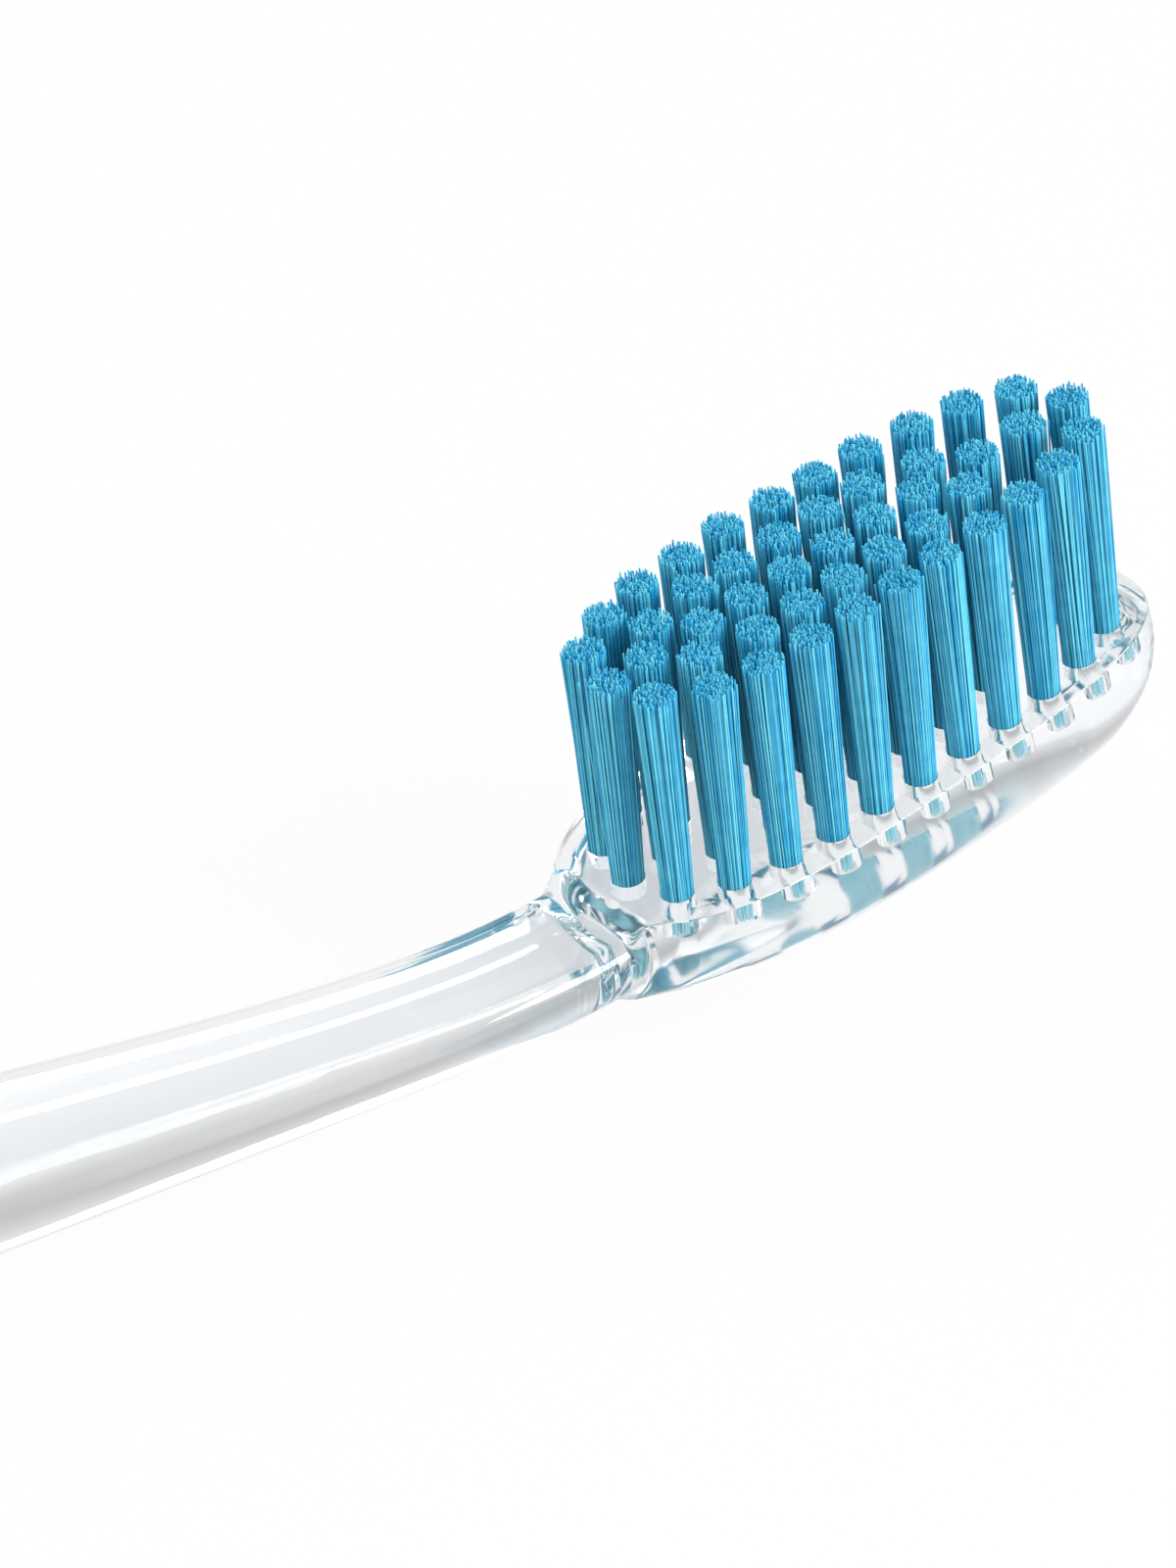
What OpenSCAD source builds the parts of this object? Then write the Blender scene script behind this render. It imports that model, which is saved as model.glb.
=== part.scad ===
// Manual toothbrush: one clear moulded body, and tufts whose fused roots fill its shallow sockets.
// The brush lies on its back with the bristles up: X runs from the butt to the nose, Y across it,
// and Z up. The origin is under the middle of the brush, on the plane that its grip rests on.

/* [Brush] */
// Length over all, along the grip, from the butt to the nose
total_l = 190; // [170:1:210]
// Angle between the grip and the face of the head, in degrees
head_tilt = 16; // [8:1:20]

/* [Tuft field] */
// Length of the oval that the outer tufts stand on
field_l = 25.9; // [24.5:0.1:28]
// Width of the oval that the outer tufts stand on
field_w = 8.17; // [7.8:0.01:9]
// Diameter of a socket
socket_d = 1.5; // [1.3:0.05:1.6]
// Depth of a socket
socket_depth = 1.5; // [1.2:0.1:2]
// Height of the trimmed bristles above the face
trim_h = 10.5; // [7.5:0.5:12.5]

/* [Head] */
// Width of flat face outside the middles of the outer tufts, along the sides
side_margin = 0.95; // [0.9:0.05:1.4]
// Length of flat face outside the middles of the end tufts
end_margin = 1.45; // [1.4:0.05:2.2]
// Width of the rounded edge round the face
edge_w = 0.5; // [0.3:0.05:0.7]
// Drop of the rounded edge
edge_h = 0.15; // [0.1:0.01:0.25]
// How far the walls reach out beyond the rounded edge, along the sides
wall_w = 0.85; // [0.7:0.05:1.2]
// How far the walls reach out beyond the rounded edge, at both ends
wall_l = 0.1; // [0.1:0.05:0.5]
// Height of the walls, from the rounded edge down to the widest line of the head
wall_h = 2.1; // [1.7:0.05:2.4]
// Thickness of the head
head_t = 5; // [4.7:0.05:5.6]
// Length of the rounded nose under the widest line
nose_l = 5.1; // [4:0.1:6]
// Length of the head behind its face, from the heel of the widest line
heel_run = 0.7; // [0.5:0.05:1]

/* [Neck] */
// Width of the neck
neck_w = 6.1; // [5:0.1:7.5]
// Thickness of the neck
neck_t = 3.65; // [3.2:0.05:4.2]
// Step down from the face to the top of the neck
neck_step = 0.8; // [0.5:0.05:1]
// Length over which the step down runs out
step_l = 1.4; // [1:0.05:2]
// Length over which the neck bends out of the head's line
bend_l = 7; // [4:0.1:12]
// Radius that softens the inner corner between neck and shoulder
shoulder_r = 0.9; // [0.5:0.1:1.5]
// Radius of the neck's upper edges
neck_edge_r = 0.9; // [0.5:0.1:1.4]

/* [Grip] */
// Width of the grip
grip_w = 11.3; // [9:0.1:15]
// Thickness of the grip, before its underside is cut flat
grip_t = 6.7; // [5.5:0.1:9]
// Radius of the grip's upper edges
grip_edge_r = 2.2; // [1:0.1:2.6]
// Distance from the head to where the neck starts to widen
neck_run = 2; // [0:0.1:10]
// Distance from the head to where the grip has its full size
grip_run = 62; // [40:1:80]
// Width of the grip at the butt, before its round end
butt_w = 9.6; // [8:0.1:12]
// Distance from the butt over which the grip narrows
butt_run = 70; // [40:1:80]
// Length of the round end of the butt
butt_r = 5; // [3:0.1:8]
// Depth of the flat along the underside of the grip
rest_cut = 0.45; // [0.3:0.05:0.8]

/* [Tufts] */
// Thickness of one bristle strand
strand_d = 0.3; // [0.24:0.01:0.32]
// How far a bundle spreads on each side between the face and its trimmed end
flare = 0.18; // [0:0.01:0.25]
// Clearance between a tuft and its socket
fit_gap = 0.03; // [0.02:0.005:0.05]

/* [Hidden] */
// Height of the crown that is cut off to make the flat face
crown_h = 0.04;
// Overrun of a cut past the surface that it opens
overrun = 0.5;

// Exponents of the head's ovals, their narrowing towards the nose, and how full a belly is
field_exp = 2.85;
face_exp = 2.4;
rim_exp = 2.7;
narrowing = 0.1;
belly_share = 0.92;
// Share of the butt's round end that is left, before the small flat of the moulding gate
gate_share = 0.985;

// Tuft field: it is 11 pitches long and 4 rows wide, and its middle is a lattice of nearly equal
// triangles
pitch = field_l / 11;
row_gap = field_w / 4;
lattice_n = 6;
lattice_start_share = -3.16;
// Centre-line tufts outside the lattice, in pitches from the middle of the head
centre_shares = [-4.55, 3.33, 4.45];
// Pairs drawn in at the ends of the lattice, in pitches along and rows across
inner_shares = [[-3.85, 0.76], [2.55, 0.68]];
// Number of equal parts in half of the outer oval, and of the steps that measure it
ring_n = 12;
ring_steps = 180;

// Strands of a bundle: how many stand on each ring, and the ring's radius as a share of the socket's
strand_counts = [3, 7];
strand_ring_shares = [0.27, 0.7];
strand_sides = 4;

// Resolution of sockets, and of a section's belly, walls and rounded edges
round_fn = 32;
belly_steps = 9;
wall_steps = 4;
edge_steps = 3;
// Number of sections along each stretch of the body, from butt to nose
butt_rings = 9;
grip_rings = 16;
neck_rings = 16;
step_rings = 20;
head_rings = 20;
nose_rings = 10;

// Part of the rounded edge's ellipse that is left outside the cut face, and its full width
edge_share = 1 - sqrt(1 - pow(edge_h / (edge_h + crown_h), 2));
edge_run = edge_w / edge_share;

// Half sizes of the ovals: outer tufts, widest line and crown
field_half_l = field_l / 2;
field_half_w = field_w / 2;
rim_half_l = field_half_l + end_margin + edge_w + wall_l;
rim_half_w = field_half_w + side_margin + edge_w + wall_w;
crown_half_l = rim_half_l - wall_l - edge_run;
crown_half_w = rim_half_w - wall_w - edge_run;

// The walls are the foot of a dome with elliptic sections: how far they turn, how high the whole dome
// would be, and the length over which it falls away at the nose
widest_h = edge_h + wall_h;
wall_turn = acos(1 - wall_w / rim_half_w);
dome_h = wall_h / sin(wall_turn);
dome_run = wall_l / (1 - cos(wall_turn));

// Stations along the head's own X, from its middle
nose_x = rim_half_l;
heel_x = -rim_half_l;
face_heel_x = heel_x + heel_run;
step_x = face_heel_x - step_l;

// The nose is a quarter ellipse in side view: how far it reaches in the grip's direction
slope = tan(head_tilt);
neck_mid_z = -neck_step - neck_t / 2;
nose_reach = (nose_x - nose_l) * cos(head_tilt) + widest_h * sin(head_tilt)
    + norm([nose_l * cos(head_tilt), (head_t - widest_h) * sin(head_tilt)]);
butt_reach = nose_reach - total_l;
// The butt's station, from where the grip's straight middle line ends total_l behind the nose
butt_x = face_heel_x + cos(head_tilt) * (butt_reach - slope * sin(head_tilt) * bend_l
    - face_heel_x * cos(head_tilt) + neck_mid_z * sin(head_tilt));
// Height of that middle line above the head's own origin, and of that origin above the ground
grip_mid_z = (face_heel_x - bend_l) * sin(head_tilt) + neck_mid_z * cos(head_tilt);
lift = grip_t / 2 - rest_cut - grip_mid_z;

function ease(share) =
    let (s = min(1, max(0, share)))
    s * s * (3 - 2 * s);

function mix(a, b, share) = a + (b - a) * share;

function two(n) = n < 10 ? str("0", n) : str(n);

// Half width of an oval at x, narrower towards the nose
function oval_half(x, half_l, half_w, e) =
    abs(x) >= half_l ? 0
    : half_w * pow(1 - pow(abs(x) / half_l, e), 1 / e) * (1 - narrowing * x / half_l);

// The larger of two widths, with the corner between them rounded
function soft_max(a, b, r) =
    let (h = min(1, max(0, (1 + (a - b) / r) / 2)))
    mix(b, a, h) + r * h * (1 - h);

// Height of a quarter ellipse, which falls from 1 at its start to 0 at its end
function round_off(share) = sqrt(1 - pow(min(1, max(0, share)), 2));

// Middle line of neck and grip at a distance d behind the face, and its turn from the head's X
function spine_z(d) = neck_mid_z + slope * (d - bend_l * (1 - exp(-d / bend_l)));
function spine_turn(d) = atan(slope * (1 - exp(-d / bend_l)));

// Sizes of the neck and grip at x: half width, thickness and radius of the upper edges
function bar(x) =
    let (grow = ease((heel_x - neck_run - x) / (grip_run - neck_run)))
    let (tail = ease((butt_x + butt_run - x) / butt_run))
    let (end = round_off(gate_share * (butt_x + butt_r - x) / butt_r))
    let (w = mix(mix(neck_w, grip_w, grow), butt_w, tail) * end / 2)
    let (t = mix(neck_t, grip_t, grow) * end)
    [w, t, mix(neck_edge_r, grip_edge_r, grow) * end];

// Sizes of the head at x: half width of the crown, heights of the dome over the widest line and of
// the rounded edge over the walls, and depth of the belly
function paddle(x) =
    [
        oval_half(x, crown_half_l, crown_half_w, face_exp),
        dome_h * round_off((x - nose_x + dome_run) / dome_run),
        (edge_h + crown_h) * round_off((x - crown_half_l) / edge_run),
        (head_t - widest_h) * round_off((x - nose_x + nose_l) / nose_l)
    ];

// Belly of a section, from its lowest point out to the half width w
function belly_arc(w, z, depth) =
    let (r = w * belly_share)
    [
        for (i = [0 : belly_steps])
            let (a = 90 * (1 - i / belly_steps))
            [w - r + r * cos(a), z - depth * sin(a)]
    ];

// Points after the start of an ellipse's arc round [y, z], from straight outwards up to the turn
function upper_arc(y, z, half_w, half_h, turn, n) =
    [
        for (i = [1 : n])
            let (a = turn * i / n)
            [y + half_w * cos(a), z + half_h * sin(a)]
    ];

// Right half of the neck's section at x, and of the head's
function neck_half(x, w) =
    let (b = bar(x))
    let (widest = spine_z(max(0, face_heel_x - x)) + b[1] / 2 - b[2])
    concat(
        belly_arc(w, widest, b[1] - b[2]),
        upper_arc(w - b[2], widest, b[2], b[2], 90, wall_steps + edge_steps)
    );

function head_half(x, w) =
    let (p = paddle(x))
    let (turn = wall_h < p[1] ? asin(wall_h / p[1]) : 90)
    let (brim = [w * cos(turn), p[1] * sin(turn) - widest_h])
    let (crown = min(p[0], brim[0]))
    concat(
        belly_arc(w, -widest_h, p[3]),
        upper_arc(0, -widest_h, w, p[1], turn, wall_steps),
        upper_arc(crown, brim[1], brim[0] - crown, p[2], 90, edge_steps)
    );

// Outline of the body at station x, where neck and head pass into each other over the step
function ring(x) =
    let (rim = oval_half(x, rim_half_l, rim_half_w, rim_exp))
    let (neck = bar(x)[0])
    let (w = x > 0 ? rim : x > heel_x - neck_run ? soft_max(rim, neck, shoulder_r) : neck)
    let (right = mix(neck_half(x, w), head_half(x, w), ease((x - step_x) / step_l)))
    let (last = len(right) - 1)
    let (left = [for (i = [last : -1 : 0]) [-right[i][0], right[i][1]]])
    let (middle = (right[0][1] + right[last][1]) / 2)
    let (turn = spine_turn(max(0, face_heel_x - x)))
    [
        for (q = concat(right, left))
            let (n = q[1] - middle)
            [x + n * sin(turn), q[0], middle + n * cos(turn)]
    ];

// Stations of the sections, close together where the form turns quickly
function stretch(from, to, n) = [for (i = [0 : n - 1]) mix(from, to, i / n)];
function arc_stretch(from, to, n) = [for (i = [0 : n - 1]) mix(from, to, sin(90 * i / n))];

stations = concat(
    [for (i = [0 : butt_rings - 1]) butt_x + butt_r * (1 - cos(90 * i / butt_rings))],
    stretch(butt_x + butt_r, heel_x - grip_run / 2, grip_rings),
    stretch(heel_x - grip_run / 2, heel_x - neck_run, neck_rings),
    stretch(heel_x - neck_run, -field_half_l, step_rings),
    stretch(-field_half_l, nose_x - nose_l, head_rings),
    arc_stretch(nose_x - nose_l, nose_x, nose_rings)
);

module sweep(rings) {
    n = len(rings[0]);
    last = len(rings) - 1;
    sides = [
        for (k = [0 : last - 1], i = [0 : n - 1])
            let (a = k * n + i)
            let (b = k * n + (i + 1) % n)
            each [[a, b + n, b], [a, a + n, b + n]]
    ];
    back = [for (i = [0 : n - 1]) i];
    front = [for (i = [n - 1 : -1 : 0]) last * n + i];
    polyhedron([for (r = rings) each r], concat([back], sides, [front]));
}

// Takes what is drawn on the head, with its face at z = 0, to its place in the whole brush
module on_head() {
    translate([total_l / 2 - nose_reach, 0, lift])
        rotate([0, -head_tilt, 0])
            children();
}

// Point of the outer oval at a step of its half turn from the heel to the nose
function ring_point(step) =
    let (t = 180 * (1 - step / ring_steps))
    let (x = sign(cos(t)) * pow(abs(cos(t)), 2 / field_exp))
    let (y = pow(sin(t), 2 / field_exp))
    [field_half_l * x, field_half_w * y * (1 - narrowing * x)];

// Distance from the heel along half of that oval, against the step that draws it
ring_table = [
    for (i = 0, s = 0; i <= ring_steps; i = i + 1, s = s + norm(ring_point(i) - ring_point(i - 1)))
        [s, i]
];
ring_half = ring_table[ring_steps][0];

// Place of an outer tuft, where equal gaps divide that half
function ring_place(k) = ring_point(lookup(ring_half * k / ring_n, ring_table));

function inner_place(shares) = [shares[0] * pitch, shares[1] * row_gap];

lattice_start = lattice_start_share * pitch;
centre_tufts = concat(
    [ring_place(0)],
    [[centre_shares[0] * pitch, 0]],
    [for (i = [0 : lattice_n - 1]) [lattice_start + i * pitch, 0]],
    [for (i = [1, 2]) [centre_shares[i] * pitch, 0]],
    [ring_place(ring_n)]
);
inner_tufts = concat(
    [inner_place(inner_shares[0])],
    [for (i = [0 : lattice_n - 2]) [lattice_start + (i + 1 / 2) * pitch, row_gap]],
    [inner_place(inner_shares[1])]
);
outer_tufts = [for (k = [1 : ring_n - 1]) ring_place(k)];

function mirrored(places) = [for (p = places) [p[0], -p[1]]];
function names(row, places) = [for (i = [1 : len(places)]) str("tuft_", row, "_", two(i))];

tuft_places = concat(
    centre_tufts,
    inner_tufts,
    mirrored(inner_tufts),
    outer_tufts,
    mirrored(outer_tufts)
);
tuft_names = concat(
    names("centre", centre_tufts),
    names("inner_left", inner_tufts),
    names("inner_right", inner_tufts),
    names("outer_left", outer_tufts),
    names("outer_right", outer_tufts)
);

module at_tufts() {
    for (p = tuft_places)
        translate([p[0], p[1], 0])
            children();
}

module socket() {
    translate([0, 0, -socket_depth])
        cylinder(h = socket_depth + overrun, d = socket_d, $fn = round_fn);
}

// Everything above the face of the head, from the step to the nose
module face_cut() {
    translate([step_x, -rim_half_w, 0])
        cube([nose_x - step_x + overrun, 2 * rim_half_w, crown_h + overrun]);
}

// The ground under the grip
module rest_plane() {
    translate([-total_l / 2 - overrun, -grip_w, -grip_t])
        cube([total_l + 2 * overrun, 2 * grip_w, grip_t]);
}

module handle() {
    color("lightcyan", 0.5)
        difference() {
            on_head()
                difference() {
                    sweep([for (x = stations) ring(x)]);
                    face_cut();
                    at_tufts()
                        socket();
                }
            rest_plane();
        }
}

// A strand leans outwards by the spread of the bundle at its own distance from the middle
module strand(r, turn) {
    lean = atan(flare / trim_h * r / (socket_d / 2));
    rotate([0, 0, turn])
        translate([r, 0, -fit_gap])
            rotate([0, lean, 0])
                cylinder(h = trim_h + fit_gap, d = strand_d, $fn = strand_sides);
}

// The packed and fused filaments that fill the socket
module tuft_root() {
    h = socket_depth - fit_gap;
    translate([0, 0, -h])
        cylinder(h = h, d = socket_d - 2 * fit_gap, $fn = round_fn);
}

module tuft(place) {
    color([0.17, 0.58, 0.76])
        on_head()
            translate([place[0], place[1], 0]) {
                tuft_root();
                for (k = [0 : len(strand_counts) - 1], i = [1 : strand_counts[k]])
                    strand(strand_ring_shares[k] * socket_d / 2, 360 * i / strand_counts[k]);
            }
}

handle();
for (i = [0 : len(tuft_names) - 1])
    tuft(tuft_places[i]);
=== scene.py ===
# Manual toothbrush: a water-clear moulded body with blue nylon tufts in shallow sockets, in a plain
# white studio. The brush lies on its back with its bristles up, and the camera is near its head.
import math
import random
import bpy
from mathutils import Matrix, Vector


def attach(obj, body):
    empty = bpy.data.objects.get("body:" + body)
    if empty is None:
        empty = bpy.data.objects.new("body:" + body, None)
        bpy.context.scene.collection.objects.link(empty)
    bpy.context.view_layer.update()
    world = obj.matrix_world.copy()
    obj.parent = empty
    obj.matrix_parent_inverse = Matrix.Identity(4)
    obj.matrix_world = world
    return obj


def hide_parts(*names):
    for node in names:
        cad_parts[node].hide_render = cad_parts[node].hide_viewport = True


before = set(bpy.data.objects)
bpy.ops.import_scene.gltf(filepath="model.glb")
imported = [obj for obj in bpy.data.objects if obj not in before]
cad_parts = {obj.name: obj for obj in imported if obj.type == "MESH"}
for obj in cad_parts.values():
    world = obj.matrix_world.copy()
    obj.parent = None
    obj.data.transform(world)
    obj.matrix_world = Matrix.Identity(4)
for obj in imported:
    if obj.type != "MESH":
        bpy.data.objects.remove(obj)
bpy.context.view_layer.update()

MM = 0.001

# Sizes in millimetres, as in the part's own source except for the head's walls and belly and the
# tufts' flare. Stations run along the head's own X from the middle of its oval, with its face at z = 0.
TOTAL_L = 190
HEAD_TILT = math.radians(16)
FIELD_L, FIELD_W = 25.9, 8.17
SOCKET_D, SOCKET_DEPTH = 1.5, 1.5
TRIM_H = 10.5
SIDE_MARGIN, END_MARGIN = 0.95, 1.45
EDGE_W, EDGE_H = 0.5, 0.15
NOSE_L, HEEL_RUN = 5.1, 0.7
NECK_W, NECK_T, NECK_STEP, STEP_L = 6.1, 3.65, 0.8, 1.4
BEND_L, SHOULDER_R, NECK_EDGE_R = 7, 0.9, 0.9
GRIP_W, GRIP_T, GRIP_EDGE_R = 11.3, 6.7, 2.2
NECK_RUN, GRIP_RUN = 2, 62
BUTT_W, BUTT_RUN, BUTT_R = 9.6, 70, 5
REST_CUT, CROWN_H = 0.45, 0.04
FLARE, FIT_GAP = 0.25, 0.03

# Exponents of the head's ovals and how much they narrow towards the nose, the rounded share of the
# neck's belly, and how far the butt's end is rounded before the small flat of its gate
FIELD_EXP, FACE_EXP, RIM_EXP, NARROWING = 2.85, 2.4, 2.84, 0.1
NECK_BELLY_SHARE, GATE_SHARE = 0.92, 0.985

# The walls stand steep and the belly deepens from the heel to the middle of the head, because what
# the photograph shows through the clear side needs both. The source has a lower widest line and a
# flatter belly, and where the head lies still follows them.
WALL_W, WALL_L, WALL_H = 0.265, 0.1, 1.65
HEEL_T, HEAD_T, SWELL_L = 5.3, 6.45, 14.4
SOURCE_WIDEST_H, SOURCE_HEAD_T = 2.25, 5

EDGE_SHARE = 1 - math.sqrt(1 - (EDGE_H / (EDGE_H + CROWN_H)) ** 2)
EDGE_RUN = EDGE_W / EDGE_SHARE
RIM_HALF_L = FIELD_L / 2 + END_MARGIN + EDGE_W + WALL_L
RIM_HALF_W = FIELD_W / 2 + SIDE_MARGIN + EDGE_W + WALL_W
CROWN_HALF_L = RIM_HALF_L - WALL_L - EDGE_RUN
CROWN_HALF_W = RIM_HALF_W - WALL_W - EDGE_RUN
WIDEST_H = EDGE_H + WALL_H
WALL_TURN = math.acos(1 - WALL_W / RIM_HALF_W)
DOME_H = WALL_H / math.sin(WALL_TURN)
DOME_RUN = WALL_L / (1 - math.cos(WALL_TURN))
NOSE_X, HEEL_X = RIM_HALF_L, -RIM_HALF_L
FACE_HEEL_X = HEEL_X + HEEL_RUN
STEP_X = FACE_HEEL_X - STEP_L
SLOPE = math.tan(HEAD_TILT)
NECK_MID_Z = -NECK_STEP - NECK_T / 2
COS, SIN = math.cos(HEAD_TILT), math.sin(HEAD_TILT)
NOSE_REACH = (
    (NOSE_X - NOSE_L) * COS
    + SOURCE_WIDEST_H * SIN
    + math.hypot(NOSE_L * COS, (SOURCE_HEAD_T - SOURCE_WIDEST_H) * SIN)
)
BUTT_X = FACE_HEEL_X + COS * (
    NOSE_REACH - TOTAL_L - SLOPE * SIN * BEND_L - FACE_HEEL_X * COS + NECK_MID_Z * SIN
)
LIFT = GRIP_T / 2 - REST_CUT - (FACE_HEEL_X - BEND_L) * SIN - NECK_MID_Z * COS

# From the head's own frame in millimetres to the whole brush's frame in metres
ON_HEAD = (
    Matrix.Scale(MM, 4)
    @ Matrix.Translation((TOTAL_L / 2 - NOSE_REACH, 0, LIFT))
    @ Matrix.Rotation(-HEAD_TILT, 4, "Y")
)


def clamped(share):
    return min(1, max(0, share))


def ease(share):
    s = clamped(share)
    return s * s * (3 - 2 * s)


def mix(a, b, share):
    return a + (b - a) * share


def oval_half(x, half_l, half_w, e):
    """Half width of an oval at x, narrower towards the nose."""
    if abs(x) >= half_l:
        return 0
    return half_w * (1 - (abs(x) / half_l) ** e) ** (1 / e) * (1 - NARROWING * x / half_l)


def soft_max(a, b, r):
    """The larger of two widths, with the corner between them rounded."""
    h = clamped((1 + (a - b) / r) / 2)
    return mix(b, a, h) + r * h * (1 - h)


def round_off(share):
    """Height of a quarter ellipse, which falls from 1 to 0."""
    return math.sqrt(1 - clamped(share) ** 2)


def spine_z(d):
    """Middle line of neck and grip at a distance d behind the face."""
    return NECK_MID_Z + SLOPE * (d - BEND_L * (1 - math.exp(-d / BEND_L)))


def spine_turn(d):
    return math.atan(SLOPE * (1 - math.exp(-d / BEND_L)))


def bar(x):
    """Neck and grip at x: half width, thickness and radius of the upper edges."""
    grow = ease((HEEL_X - NECK_RUN - x) / (GRIP_RUN - NECK_RUN))
    tail = ease((BUTT_X + BUTT_RUN - x) / BUTT_RUN)
    end = round_off(GATE_SHARE * (BUTT_X + BUTT_R - x) / BUTT_R)
    w = mix(mix(NECK_W, GRIP_W, grow), BUTT_W, tail) * end / 2
    return w, mix(NECK_T, GRIP_T, grow) * end, mix(NECK_EDGE_R, GRIP_EDGE_R, grow) * end


def paddle(x):
    """Head at x: half width of the crown, heights of the dome and of the rounded edge, belly's depth."""
    return (
        oval_half(x, CROWN_HALF_L, CROWN_HALF_W, FACE_EXP),
        DOME_H * round_off((x - NOSE_X + DOME_RUN) / DOME_RUN),
        (EDGE_H + CROWN_H) * round_off((x - CROWN_HALF_L) / EDGE_RUN),
        (mix(HEEL_T, HEAD_T, ease((x - HEEL_X) / SWELL_L)) - WIDEST_H)
        * round_off((x - NOSE_X + NOSE_L) / NOSE_L),
    )


BELLY_STEPS, WALL_STEPS, EDGE_STEPS = 24, 10, 6


def belly_arc(w, z, depth, share):
    """Belly of a section, from its lowest point out to the half width w, of which a share is round."""
    r = w * share
    turns = [math.pi / 2 * (1 - i / BELLY_STEPS) for i in range(BELLY_STEPS + 1)]
    return [(w - r + r * math.cos(a), z - depth * math.sin(a)) for a in turns]


def upper_arc(y, z, half_w, half_h, turn, n):
    """Points after the start of an ellipse's arc round y and z, from straight outwards up to the turn."""
    turns = [turn * i / n for i in range(1, n + 1)]
    return [(y + half_w * math.cos(a), z + half_h * math.sin(a)) for a in turns]


def neck_half(x, w):
    """Right half of a section of neck or grip, from the belly's lowest point up to the flat top."""
    _, t, r = bar(x)
    widest = spine_z(max(0, FACE_HEEL_X - x)) + t / 2 - r
    return belly_arc(w, widest, t - r, NECK_BELLY_SHARE) + upper_arc(
        w - r, widest, r, r, math.pi / 2, WALL_STEPS + EDGE_STEPS
    )


def head_half(x, w):
    """Right half of a section of the head, from the belly's lowest point up to the face."""
    crown_w, dome, lip, depth = paddle(x)
    turn = math.asin(WALL_H / dome) if dome > WALL_H else math.pi / 2
    y, z = w * math.cos(turn), dome * math.sin(turn) - WIDEST_H
    crown = min(crown_w, y)
    # The rounded edge stops where it meets the flat face
    last = math.asin(-z / lip) if z + lip > 0 else math.pi / 2
    return (
        belly_arc(w, -WIDEST_H, depth, 1)
        + upper_arc(0, -WIDEST_H, w, dome, turn, WALL_STEPS)
        + upper_arc(crown, z, y - crown, lip, last, EDGE_STEPS)
    )


def ring(x):
    """Outline of the body at station x, from the middle of the belly round to its start again."""
    rim, neck_w = oval_half(x, RIM_HALF_L, RIM_HALF_W, RIM_EXP), bar(x)[0]
    w = rim if x > 0 else soft_max(rim, neck_w, SHOULDER_R) if x > HEEL_X - NECK_RUN else neck_w
    share = ease((x - STEP_X) / STEP_L)
    pairs = zip(neck_half(x, w), head_half(x, w))
    right = [(mix(a[0], b[0], share), mix(a[1], b[1], share)) for a, b in pairs]
    outline = right + [(-y, z) for y, z in reversed(right)]
    middle, turn = (right[0][1] + right[-1][1]) / 2, spine_turn(max(0, FACE_HEEL_X - x))
    return [
        (x + (z - middle) * math.sin(turn), y, middle + (z - middle) * math.cos(turn)) for y, z in outline
    ]


def stretch(start, end, n):
    return [mix(start, end, i / n) for i in range(n)]


def arc_stretch(start, end, n):
    """Stations that lie closer together towards the end, where a quarter circle closes."""
    return [mix(start, end, math.sin(math.pi / 2 * i / n)) for i in range(n)]


BUTT_STEPS = 24
STATIONS = (
    [BUTT_X + BUTT_R * (1 - math.cos(math.pi / 2 * i / BUTT_STEPS)) for i in range(BUTT_STEPS)]
    + stretch(BUTT_X + BUTT_R, HEEL_X - GRIP_RUN, 60)
    + stretch(HEEL_X - GRIP_RUN, HEEL_X - NECK_RUN - STEP_L, 90)
    + stretch(HEEL_X - NECK_RUN - STEP_L, -FIELD_L / 2, 110)
    + stretch(-FIELD_L / 2, NOSE_X - NOSE_L, 80)
    + arc_stretch(NOSE_X - NOSE_L, NOSE_X, 90)
)

# Tuft field: a lattice in the middle, the tufts drawn in at its ends, and a ring of equal gaps
PITCH, ROW_GAP = FIELD_L / 11, FIELD_W / 4
LATTICE_N, LATTICE_START = 6, -3.16 * PITCH
CENTRE_SHARES = (-4.55, 3.33, 4.45)
INNER_SHARES = ((-3.85, 0.76), (2.55, 0.68))
RING_N, RING_STEPS = 12, 180


def oval_point(step):
    """Point on the outer oval's left half, at a step from the heel towards the nose."""
    t = math.pi * (1 - step / RING_STEPS)
    x = math.copysign(abs(math.cos(t)) ** (2 / FIELD_EXP), math.cos(t))
    y = max(0, math.sin(t)) ** (2 / FIELD_EXP)
    return Vector((FIELD_L / 2 * x, FIELD_W / 2 * y * (1 - NARROWING * x)))


def oval_places():
    """Points that divide half of the outer oval in equal gaps, from the heel to the nose."""
    points = [oval_point(i) for i in range(RING_STEPS + 1)]
    runs = [0]
    for a, b in zip(points, points[1:]):
        runs.append(runs[-1] + (b - a).length)
    places = []
    for k in range(RING_N + 1):
        goal = runs[-1] * k / RING_N
        i = min(RING_STEPS - 1, sum(1 for r in runs[1:] if r < goal))
        places.append(points[i].lerp(points[i + 1], (goal - runs[i]) / (runs[i + 1] - runs[i])))
    return places


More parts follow.
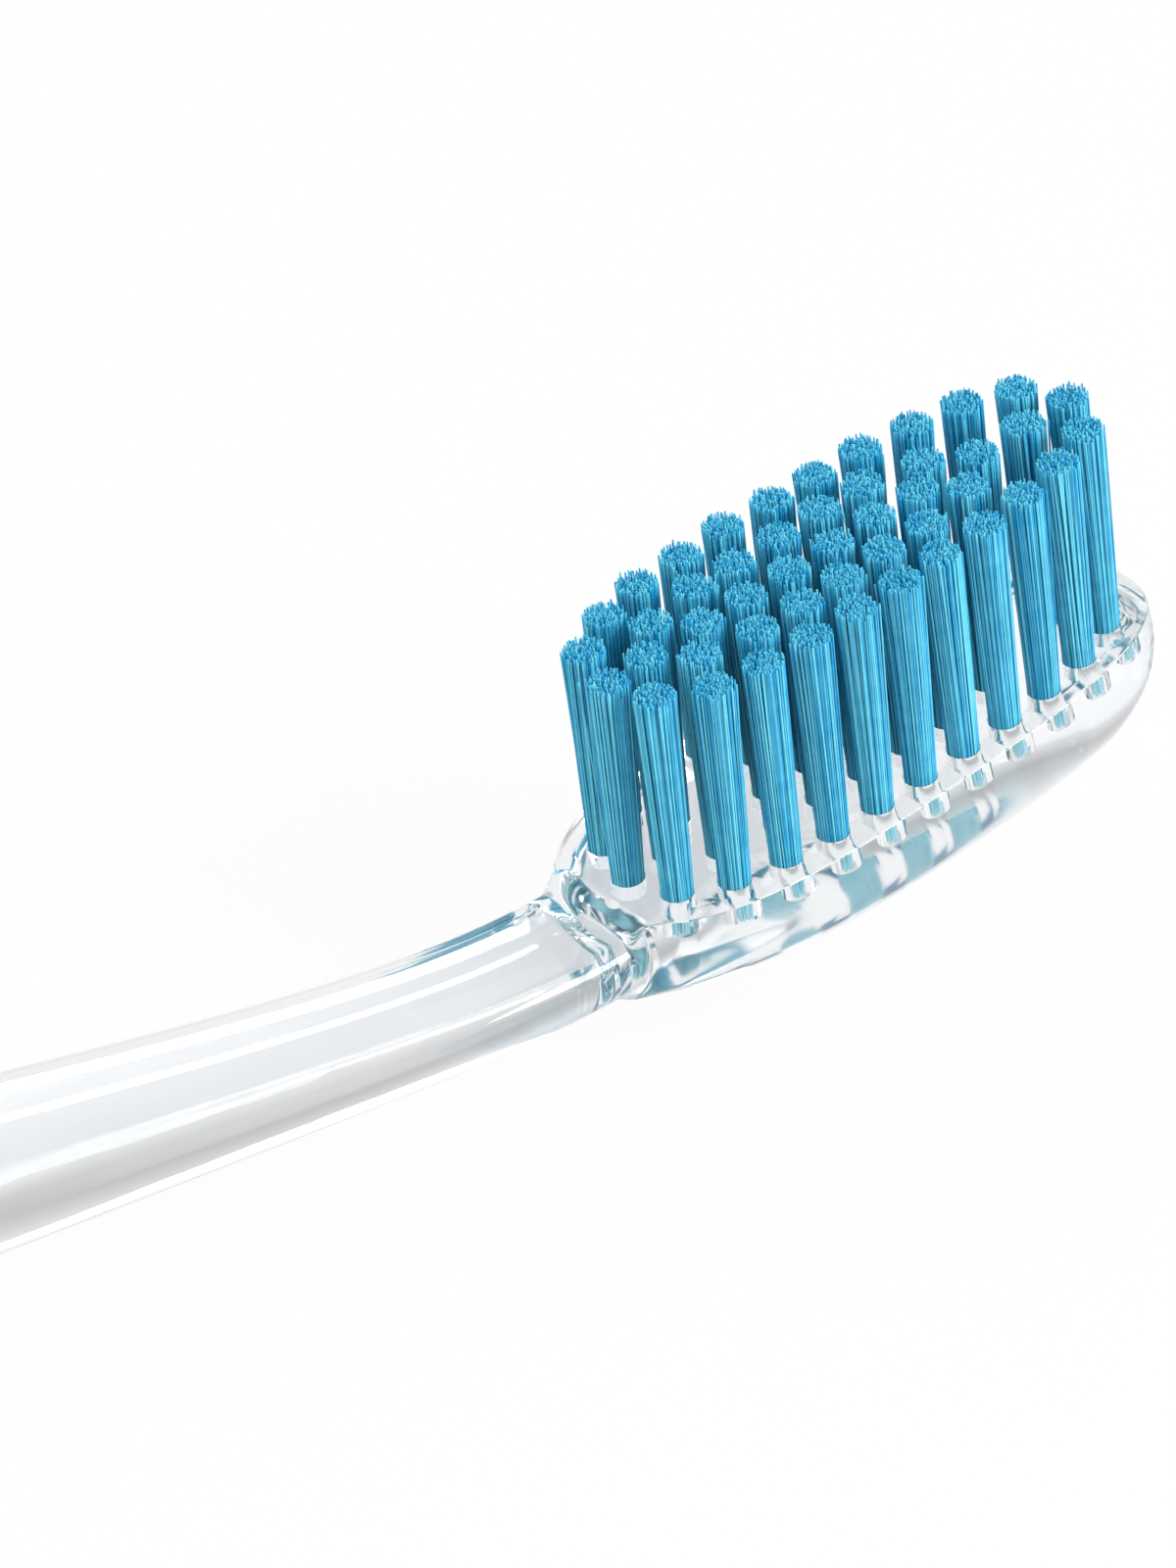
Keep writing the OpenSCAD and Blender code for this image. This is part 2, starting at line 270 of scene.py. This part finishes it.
def tuft_rows():
    """Name of each row of tufts with its places on the face."""
    oval = oval_places()
    lattice = [Vector((LATTICE_START + i * PITCH, 0)) for i in range(LATTICE_N)]
    ends = [Vector((share * PITCH, 0)) for share in CENTRE_SHARES]
    drawn_in = [Vector((along * PITCH, across * ROW_GAP)) for along, across in INNER_SHARES]
    between = [p + Vector((PITCH / 2, ROW_GAP)) for p in lattice[:-1]]
    centre = [oval[0], ends[0], *lattice, *ends[1:], oval[-1]]
    inner = [drawn_in[0], *between, drawn_in[1]]
    outer = oval[1:-1]

    def mirrored(places):
        return [Vector((p.x, -p.y)) for p in places]

    return {
        "tuft_centre": centre,
        "tuft_inner_left": inner,
        "tuft_inner_right": mirrored(inner),
        "tuft_outer_left": outer,
        "tuft_outer_right": mirrored(outer),
    }


TUFTS = {
    f"{row}_{i + 1:02d}": place for row, places in tuft_rows().items() for i, place in enumerate(places)
}


def deselect():
    bpy.ops.object.select_all(action="DESELECT")


def only(obj):
    """Selects obj alone and makes it active."""
    deselect()
    obj.select_set(True)
    bpy.context.view_layer.objects.active = obj
    return obj


def added(name):
    """The primitive that was just added, under its own name."""
    obj = bpy.context.object
    obj.name = obj.data.name = name
    return obj


def edit(obj, *steps):
    """Runs edit-mode steps on all of obj."""
    only(obj)
    bpy.ops.object.mode_set(mode="EDIT")
    bpy.ops.mesh.select_all(action="SELECT")
    for step in steps:
        step()
    bpy.ops.object.mode_set(mode="OBJECT")


def apply_modifiers(obj):
    only(obj)
    for modifier in list(obj.modifiers):
        bpy.ops.object.modifier_apply(modifier=modifier.name)


# Materials


def colour(code):
    """Linear colour of an sRGB hex value."""
    parts = [int(code[i : i + 2], 16) / 255 for i in (1, 3, 5)]
    return (*[c / 12.92 if c <= 0.04045 else ((c + 0.055) / 1.055) ** 2.4 for c in parts], 1)


def node(tree, kind, settings=None, **links):
    """Adds a node with its settings, and links or sets the inputs that are named with _ for a space."""
    made = tree.nodes.new(kind)
    for key, value in (settings or {}).items():
        setattr(made, key, value)
    for key, value in links.items():
        socket = made.inputs[int(key[1:])] if key[1:].isdigit() else made.inputs[key.replace("_", " ")]
        if isinstance(value, bpy.types.NodeSocket):
            tree.links.new(value, socket)
        else:
            socket.default_value = value
    return made


def fill_ramp(ramp, stops):
    """Gives a colour ramp its stops, each a place and a colour, in rising order."""
    elements = ramp.color_ramp.elements
    while len(elements) < len(stops):
        elements.new(0.5)
    for element, (at, shade) in zip(elements, stops):
        element.position, element.color = at, shade


def material(name):
    made = bpy.data.materials.new(name)
    made.use_nodes = True
    made.node_tree.nodes.clear()
    return made, made.node_tree


PLASTIC_IOR, NO_BEND_IOR = 1.54, 1.001
STRAIGHT_DEPTH = 4
BELLY_ROUGHNESS, POLISH_RUN = 0.07, 0.6 * MM
WAVE_L, WAVE_H = 6 * MM, 0.4 * MM


def clear_plastic():
    """Injection-moulded clear copolyester: the eye gets a water-clear and slightly wavy skin, which is
    polished above the head's widest line and a little softer on the belly under it."""
    made, tree = material("clear_copolyester_moulded")
    place = node(tree, "ShaderNodeTexCoord").outputs["Object"]
    waves = node(tree, "ShaderNodeTexNoise", Vector=place, Scale=1 / WAVE_L, Detail=1, Roughness=0.4)
    bump = node(tree, "ShaderNodeBump", Height=waves.outputs["Fac"], Strength=0.06, Distance=WAVE_H)
    up = ON_HEAD.to_3x3().col[2].normalized()
    height = node(tree, "ShaderNodeVectorMath", {"operation": "DOT_PRODUCT"}, _0=place, _1=up)
    widest = (ON_HEAD @ Vector((0, 0, -WIDEST_H))).dot(up)
    rough = node(
        tree,
        "ShaderNodeMapRange",
        Value=height.outputs["Value"],
        From_Min=widest - POLISH_RUN,
        From_Max=widest,
        To_Min=BELLY_ROUGHNESS,
        To_Max=0,
    )
    # Light that has come in and turned back three times goes straight out, where it would else be lost
    path = node(tree, "ShaderNodeLightPath")
    held = node(
        tree,
        "ShaderNodeMath",
        {"operation": "GREATER_THAN"},
        _0=path.outputs["Ray Depth"],
        _1=STRAIGHT_DEPTH - 0.5,
    )
    bend = node(
        tree, "ShaderNodeMapRange", Value=held.outputs["Value"], To_Min=PLASTIC_IOR, To_Max=NO_BEND_IOR
    )
    shader = node(
        tree,
        "ShaderNodeBsdfPrincipled",
        Base_Color=colour("#fbfdfe"),
        IOR=bend.outputs["Result"],
        Transmission_Weight=1,
        Roughness=rough.outputs["Result"],
        Normal=bump.outputs["Normal"],
    )
    shader.inputs["IOR"].default_value = PLASTIC_IOR
    node(tree, "ShaderNodeOutputMaterial", Surface=shader.outputs["BSDF"])
    return made


STREAK_L, STREAK_SHARE = 0.8 * MM, 0.3
# The palest stop is painted light. Only the roots reach it, and they are painted paler than the dye where
# little light gets into the sockets.
DYE_AND_PAINTED_LIGHT_STOPS = ((0.1, "#0699cb"), (0.72, "#7ae2f2"), (1, "#b4ecf7"))


def nylon():
    """Extruded blue nylon filament: satin, each in its own shade of one dye, with painted light that
    makes the root in its socket paler and painted shade that makes the tip a little darker.
    """
    made, tree = material("blue_nylon_filament")
    # The attribute holds each filament's random tone, with painted light at its root and painted shade at
    # its tip
    shade = node(tree, "ShaderNodeAttribute", {"attribute_name": "filament_tone_and_painted_light"})
    place = node(tree, "ShaderNodeTexCoord").outputs["Object"]
    streaks = node(tree, "ShaderNodeTexNoise", Vector=place, Scale=1 / STREAK_L, Detail=2)
    tone = node(
        tree,
        "ShaderNodeMath",
        {"operation": "MULTIPLY_ADD"},
        _0=streaks.outputs["Fac"],
        _1=STREAK_SHARE,
        _2=shade.outputs["Fac"],
    )
    ramp = node(tree, "ShaderNodeValToRGB", Fac=tone.outputs["Value"])
    fill_ramp(ramp, [(at, colour(code)) for at, code in DYE_AND_PAINTED_LIGHT_STOPS])
    shader = node(
        tree,
        "ShaderNodeBsdfPrincipled",
        Base_Color=ramp.outputs["Color"],
        Roughness=0.42,
        IOR=1.53,
        Specular_IOR_Level=0.3,
    )
    node(tree, "ShaderNodeOutputMaterial", Surface=shader.outputs["BSDF"])
    return made


# Pieces


def body_blank():
    """The moulded body without its holes: a grid whose lines become the sections, joined to a tube."""
    rings = [ring(x) for x in STATIONS]
    sides = len(rings[0])
    bpy.ops.mesh.primitive_grid_add(x_subdivisions=len(rings) - 1, y_subdivisions=sides, size=2)
    body = added("clear_body")
    columns = {c: i for i, c in enumerate(sorted({round(v.co.x, 4) for v in body.data.vertices}))}
    lines = {c: i for i, c in enumerate(sorted({round(v.co.y, 4) for v in body.data.vertices}))}
    for v in body.data.vertices:
        v.co = rings[columns[round(v.co.x, 4)]][lines[round(v.co.y, 4)] % sides]
    edit(
        body,
        lambda: bpy.ops.mesh.remove_doubles(threshold=1e-4),
        lambda: bpy.ops.mesh.fill_holes(sides=0),
        lambda: bpy.ops.mesh.normals_make_consistent(inside=False),
    )
    return body


SOCKET_SIDES = 32


def drills():
    """One cutter for each socket, as one object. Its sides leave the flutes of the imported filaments."""
    cutters = []
    for place in TUFTS.values():
        bpy.ops.mesh.primitive_cylinder_add(
            vertices=SOCKET_SIDES, radius=SOCKET_D / 2, depth=2 * SOCKET_DEPTH, location=(*place, 0)
        )
        cutters.append(bpy.context.object)
    for cutter in cutters:
        cutter.select_set(True)
    bpy.ops.object.join()
    return added("drills")


def mark_creases(body):
    """Keeps the rim of the face, its rounded edge's foot and the sockets' mouths and flutes sharp."""
    for edge in body.data.edges:
        a, b = (body.data.vertices[i].co for i in edge.vertices)
        level = any(abs(a.z - z) < 1e-4 and abs(b.z - z) < 1e-4 for z in (0, -EDGE_H))
        flute = abs(a.z - b.z) > 0.9 * SOCKET_DEPTH and (a - b).xy.length < 1e-3
        edge.use_edge_sharp = level or flute


def cut_rest():
    """The flat strip that the grip rests on, at the height of the floor."""
    bpy.ops.mesh.bisect(
        plane_co=(0, 0, 0), plane_no=(0, 0, 1), use_fill=True, clear_inner=True, threshold=1e-6
    )
    bpy.ops.mesh.mark_sharp()


def make_body():
    body = body_blank()
    cutter = drills()
    hole = body.modifiers.new("sockets", "BOOLEAN")
    hole.operation, hole.solver, hole.object = "DIFFERENCE", "EXACT", cutter
    apply_modifiers(body)
    bpy.data.objects.remove(cutter)
    mark_creases(body)
    body.data.transform(ON_HEAD)
    edit(body, cut_rest)
    return body


# A filament has two levels in its socket, at the floor and the mouth, and the others above the face
FILAMENT_R = 0.043
FILAMENTS = 220
FILAMENT_SIDES = 5
BUNDLE_R = SOCKET_D / 2 - FIT_GAP - FILAMENT_R
RISE_SHARES = (0.25, 0.5, 0.77, 1)
LEVELS = 2 + len(RISE_SHARES)
TIP_SHARE, TIP_H = 0.55, 0.6 * FILAMENT_R
GOLDEN_ANGLE = math.pi * (3 - math.sqrt(5))

# How filaments differ, in millimetres: how far tips wander, usually and as one of the few strays, how
# far the middle bows out, how much falls short of the trim, and how far a whole tuft leans
WANDER, STRAY_WANDER, STRAYS = 0.05, 0.2, 0.06
BOW, SHORT, MOST_SHORT, LEAN = 0.025, 0.13, 0.7, 0.05
TURN_JITTER = 0.08
# Spread of the filaments' random tones, with painted light that makes the root in its socket paler and
# painted shade that makes the tip a little darker
PAINTED_ROOT_LIGHT, PAINTED_TIP_SHADE, SHADE_RANGE = 0.6, -0.05, 0.5


def model_filament():
    """One filament as a straight rod, one unit between its levels, with an end-rounded tip."""
    top = LEVELS - 1
    bpy.ops.mesh.primitive_cone_add(
        vertices=FILAMENT_SIDES,
        radius1=FILAMENT_R,
        radius2=TIP_SHARE * FILAMENT_R,
        depth=TIP_H,
        end_fill_type="NOTHING",
        location=(0, 0, top + TIP_H / 2),
    )
    tip = bpy.context.object
    bpy.ops.mesh.primitive_cylinder_add(
        vertices=FILAMENT_SIDES,
        radius=FILAMENT_R,
        depth=top,
        end_fill_type="NOTHING",
        location=(0, 0, top / 2),
    )
    rod = added("filament")
    bpy.ops.object.transform_apply(location=True)
    edit(rod, *[lambda z=z: cut_level(z) for z in range(1, top)])
    tip.select_set(True)
    bpy.ops.object.join()
    edit(
        rod,
        lambda: bpy.ops.mesh.remove_doubles(threshold=1e-4),
        lambda: bpy.ops.mesh.fill_holes(sides=0),
        lambda: bpy.ops.mesh.normals_make_consistent(inside=False),
    )
    return rod


def cut_level(z):
    bpy.ops.mesh.select_all(action="SELECT")
    bpy.ops.mesh.bisect(plane_co=(0, 0, z), plane_no=(0, 0, 1))


def filament_path(rng, i, lean):
    """Centre points of filament i, from the floor of the socket up to the tip."""
    r = BUNDLE_R * math.sqrt((i + 0.5) / FILAMENTS)
    turn = i * GOLDEN_ANGLE + rng.uniform(-TURN_JITTER, TURN_JITTER)
    foot = Vector((r * math.cos(turn), r * math.sin(turn), 0))
    stray = rng.gauss(0, STRAY_WANDER if rng.random() < STRAYS else WANDER)
    stray_turn = rng.uniform(0, 2 * math.pi)
    astray = stray * Vector((math.cos(stray_turn), math.sin(stray_turn), 0))
    tip = foot * (1 + FLARE / (SOCKET_D / 2)) + astray + lean
    length = TRIM_H - FILAMENT_R - min(MOST_SHORT, abs(rng.gauss(0, SHORT)))
    bow = Vector((rng.gauss(0, BOW), rng.gauss(0, BOW), 0))
    path = [foot + Vector((0, 0, FIT_GAP - SOCKET_DEPTH)), foot]
    for share in RISE_SHARES:
        level = foot.lerp(tip, share) + bow * math.sin(math.pi * share)
        level.z = length * share
        path.append(level)
    return path


def painted_light_and_shade_change(z):
    """Painted light and shade along the rod: the root in its socket is painted paler where little light
    reaches it, and the tip is painted a little darker, as the shade inside a bundle.
    """
    return PAINTED_ROOT_LIGHT if z < 0.5 else PAINTED_TIP_SHADE if z > LEVELS - 1.01 else 0


def make_tuft(name, place, rod):
    """A bundle of copies of the rod, each bent along its own path."""
    rng = random.Random(name)
    lean = Vector((rng.gauss(0, LEAN), rng.gauss(0, LEAN), 0))
    rod_points = [v.co.copy() for v in rod.data.vertices]
    rod_faces = [tuple(p.vertices) for p in rod.data.polygons]
    points, faces, tones_and_painted_light = [], [], []
    for i in range(FILAMENTS):
        path = filament_path(rng, i, lean)
        shade = SHADE_RANGE * rng.random()
        twist = rng.uniform(0, 2 * math.pi)
        cos, sin = math.cos(twist), math.sin(twist)
        frames = []
        for k, centre in enumerate(path):
            along = (path[min(k + 1, LEVELS - 1)] - path[max(k - 1, 0)]).normalized()
            across = (Vector((0, 1, 0)) - along * along.y).normalized()
            frames.append((centre, along, across, across.cross(along)))
        start = len(points)
        for co in rod_points:
            level = min(LEVELS - 1, int(co.z + 0.5))
            centre, along, across, other = frames[level]
            a, b = co.x * cos - co.y * sin, co.x * sin + co.y * cos
            points.append(centre + other * a + across * b + along * (co.z - level))
        faces.extend([tuple(start + v for v in f) for f in rod_faces])
        # Each point gets its filament's random tone plus painted light at the root and painted shade at
        # the tip
        tones_and_painted_light.extend([shade + painted_light_and_shade_change(co.z) for co in rod_points])
    mesh = bpy.data.meshes.new(name + "_bundle")
    mesh.from_pydata([(p.x + place.x, p.y + place.y, p.z) for p in points], [], faces)
    mesh.attributes.new("filament_tone_and_painted_light", "FLOAT", "POINT").data.foreach_set("value", tones_and_painted_light)
    mesh.shade_smooth()
    mesh.transform(ON_HEAD)
    tuft = bpy.data.objects.new(mesh.name, mesh)
    bpy.context.scene.collection.objects.link(tuft)
    return tuft


# Studio. The floor lies a hair under the strip that the grip rests on, so that no faces share a plane.
FLOOR_SIZE, FLOOR_DROP = 6, 0.02 * MM
CAMERA_WHITE, SEEN_THROUGH_WHITE = 0.94, 0.2


def make_floor():
    """Pale paper, with a white share for the camera and a smaller one for what the plastic shows."""
    bpy.ops.mesh.primitive_plane_add(size=FLOOR_SIZE, location=(0, 0, -FLOOR_DROP))
    floor = added("studio_floor")
    made, tree = material("white_paper_sweep")
    paper = node(tree, "ShaderNodeBsdfDiffuse", Color=colour("#dedee0"))
    white = node(tree, "ShaderNodeEmission", Color=colour("#ffffff"), Strength=1)
    path = node(tree, "ShaderNodeLightPath")
    seen_through = node(
        tree,
        "ShaderNodeMath",
        {"operation": "MULTIPLY"},
        _0=path.outputs["Is Transmission Ray"],
        _1=SEEN_THROUGH_WHITE,
    )
    share = node(
        tree,
        "ShaderNodeMath",
        {"operation": "MULTIPLY_ADD"},
        _0=path.outputs["Is Camera Ray"],
        _1=CAMERA_WHITE,
        _2=seen_through.outputs["Value"],
    )
    shader = node(
        tree,
        "ShaderNodeMixShader",
        _0=share.outputs["Value"],
        _1=paper.outputs["BSDF"],
        _2=white.outputs["Emission"],
    )
    node(tree, "ShaderNodeOutputMaterial", Surface=shader.outputs["Shader"])
    floor.data.materials.append(made)
    return floor


# Brightness of the panels at heights from straight down (0) to straight up (1), darker near the floor
PANEL_LEVELS = ((0, 0.8), (0.5, 0.8), (0.57, 0.5), (0.64, 0.62), (0.74, 0.97))
PANEL_STRENGTH = 0.95


def make_world():
    """White for the camera, and soft white and grey panels for light, gloss and what shows through."""
    world = bpy.data.worlds.new("studio")
    bpy.context.scene.world = world
    world.use_nodes = True
    tree = world.node_tree
    tree.nodes.clear()
    place = node(tree, "ShaderNodeTexCoord")
    split = node(tree, "ShaderNodeSeparateXYZ", Vector=place.outputs["Generated"])
    path = node(tree, "ShaderNodeLightPath")
    height = node(tree, "ShaderNodeMapRange", Value=split.outputs["Z"], From_Min=-1, From_Max=1)
    ramp = node(tree, "ShaderNodeValToRGB", Fac=height.outputs["Result"])
    fill_ramp(ramp, [(at, (level, level, level, 1)) for at, level in PANEL_LEVELS])
    panels = node(tree, "ShaderNodeBackground", Color=ramp.outputs["Color"], Strength=PANEL_STRENGTH)
    white = node(tree, "ShaderNodeBackground", Color=(1, 1, 1, 1), Strength=1)
    plain = node(
        tree,
        "ShaderNodeMath",
        {"operation": "MAXIMUM"},
        _0=path.outputs["Is Camera Ray"],
        _1=path.outputs["Is Diffuse Ray"],
    )
    shader = node(
        tree,
        "ShaderNodeMixShader",
        _0=plain.outputs["Value"],
        _1=panels.outputs["Background"],
        _2=white.outputs["Background"],
    )
    node(tree, "ShaderNodeOutputWorld", Surface=shader.outputs["Shader"])


# Camera, fitted to the photograph: a long lens from about 0.9 m, a little rolled
CAMERA_AT = Vector((-0.494162, -0.561176, 0.425331))
CAMERA_AIM = Vector((0.0689337, 0.0045364, 0.0095636))
CAMERA_ROLL = math.radians(7.6176)
CAMERA_LENS, CAMERA_SENSOR = 494.57, 36


def make_camera():
    data = bpy.data.cameras.new("camera")
    data.lens, data.sensor_width = CAMERA_LENS, CAMERA_SENSOR
    data.clip_start, data.clip_end = 0.01, 10
    camera = bpy.data.objects.new("camera", data)
    bpy.context.scene.collection.objects.link(camera)
    aim = (CAMERA_AIM - CAMERA_AT).to_track_quat("-Z", "Y")
    camera.location = CAMERA_AT
    camera.rotation_mode = "QUATERNION"
    camera.rotation_quaternion = aim @ Matrix.Rotation(CAMERA_ROLL, 3, "Z").to_quaternion()
    bpy.context.scene.camera = camera


KEY_SIZE, KEY_WATTS = 0.5, 8
KEY_OFFSET = Vector((0.35, -0.75, 0.6))


def make_key():
    """A large soft panel to the right of the camera and above it."""
    data = bpy.data.lights.new("key_panel", "AREA")
    data.shape, data.size, data.energy = "SQUARE", KEY_SIZE, KEY_WATTS
    key = bpy.data.objects.new("key_panel", data)
    bpy.context.scene.collection.objects.link(key)
    key.location = CAMERA_AIM + KEY_OFFSET
    key.rotation_mode = "QUATERNION"
    key.rotation_quaternion = (CAMERA_AIM - key.location).to_track_quat("-Z", "Y")


SHARP_FROM = math.radians(35)

clear, blue = clear_plastic(), nylon()

body = make_body()
body.data.materials.clear()
body.data.materials.append(clear)
only(body)
bpy.ops.object.shade_smooth_by_angle(angle=SHARP_FROM)
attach(body, "root")
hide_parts("handle")

rod = model_filament()
for name, place in TUFTS.items():
    tuft = make_tuft(name, place, rod)
    tuft.data.materials.append(blue)
    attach(tuft, "root")
    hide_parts(name)
bpy.data.objects.remove(rod)

floor = make_floor()
make_world()
make_key()
make_camera()

scene = bpy.context.scene
scene.view_settings.view_transform = "Standard"

bpy.context.view_layer.update()
